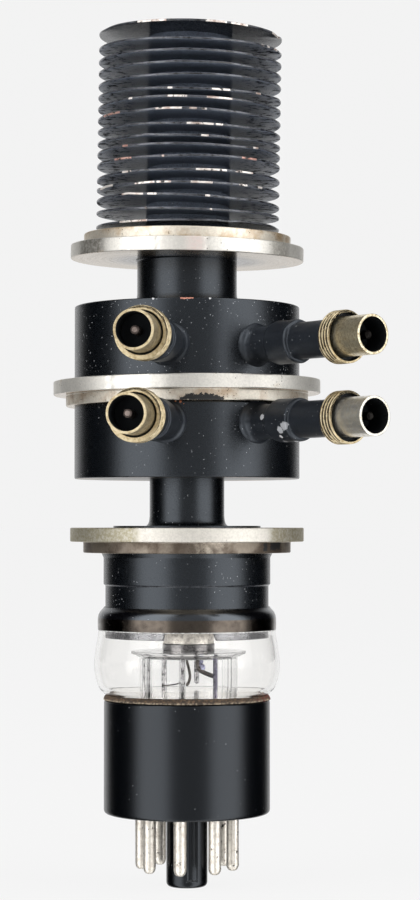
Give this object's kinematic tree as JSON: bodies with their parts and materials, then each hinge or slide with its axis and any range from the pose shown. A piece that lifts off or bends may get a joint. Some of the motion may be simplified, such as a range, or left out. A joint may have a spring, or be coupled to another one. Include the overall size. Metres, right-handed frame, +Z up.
{
  "type": "klystron",
  "caption": "Two-cavity klystron with coaxial ports, a finned collector, a glass-cased electron gun and an octal plug base.",
  "frame": {"origin": "centre of the octal pin circle, on the underside of the base", "axes": "+Z up the tube's axis to the radiator; -Y is the front, where the ports point; +X to the right"},
  "size_m": [0.0607, 0.0787, 0.1626],
  "materials": {
    "moulding": "satin black phenolic moulding",
    "pins": "tinned, with worn dark marks",
    "cement": "rust brown basing cement",
    "bulb_glass": "clear blown glass, black paint over its shoulder",
    "stem_glass": "clear pressed glass",
    "bead_glass": "dark sealing glass",
    "gun_metal": "dull nickel",
    "mica": "clear mica sheet, slightly clouded",
    "heater_wire": "wire with a white coating",
    "body_paint": "semi-matt black paint",
    "fin_paint": "semi-matt black paint, chipped to bare metal at the rims",
    "flange_metal": "satin nickel plate, stained in places",
    "port_metal": "worn nickel plate over brass",
    "copper": "bare copper"
  },
  "bodies": {
    "root": {"base_shell": "moulding", "base_pins": "pins", "base_cement": "cement", "glass_envelope": "bulb_glass", "glass_stem": "stem_glass", "stem_leads": "gun_metal", "gun_disc": "mica", "cathode": "gun_metal", "heater": "heater_wire", "focus_cup": "gun_metal", "metal_cup": "body_paint", "lower_flange": "flange_metal", "lower_neck": "body_paint", "lower_cavity": "body_paint", "middle_flange": "flange_metal", "drift_tube": "copper", "cavity_grids": "gun_metal", "upper_cavity": "body_paint", "upper_neck": "body_paint", "upper_flange": "flange_metal", "collector": "body_paint", "fin_01": "fin_paint", "fin_02": "fin_paint", "fin_03": "fin_paint", "fin_04": "fin_paint", "fin_05": "fin_paint", "fin_06": "fin_paint", "fin_07": "fin_paint", "fin_08": "fin_paint", "fin_09": "fin_paint", "fin_10": "fin_paint", "fin_11": "fin_paint", "fin_12": "fin_paint", "fin_13": "fin_paint", "fin_14": "fin_paint", "fin_15": "fin_paint", "fin_16": "fin_paint", "fin_17": "fin_paint", "upper_left_port_tube": "body_paint", "upper_left_port_ring": "port_metal", "upper_left_port_spigot": "port_metal", "upper_left_port_bead": "bead_glass", "upper_left_port_pin": "port_metal", "upper_right_port_tube": "body_paint", "upper_right_port_ring": "port_metal", "upper_right_port_spigot": "port_metal", "upper_right_port_bead": "bead_glass", "upper_right_port_pin": "port_metal", "lower_left_port_tube": "body_paint", "lower_left_port_ring": "port_metal", "lower_left_port_spigot": "port_metal", "lower_left_port_bead": "bead_glass", "lower_left_port_pin": "port_metal", "lower_right_port_tube": "body_paint", "lower_right_port_ring": "port_metal", "lower_right_port_spigot": "port_metal", "lower_right_port_bead": "bead_glass", "lower_right_port_pin": "port_metal"}
  },
  "joints": []
}
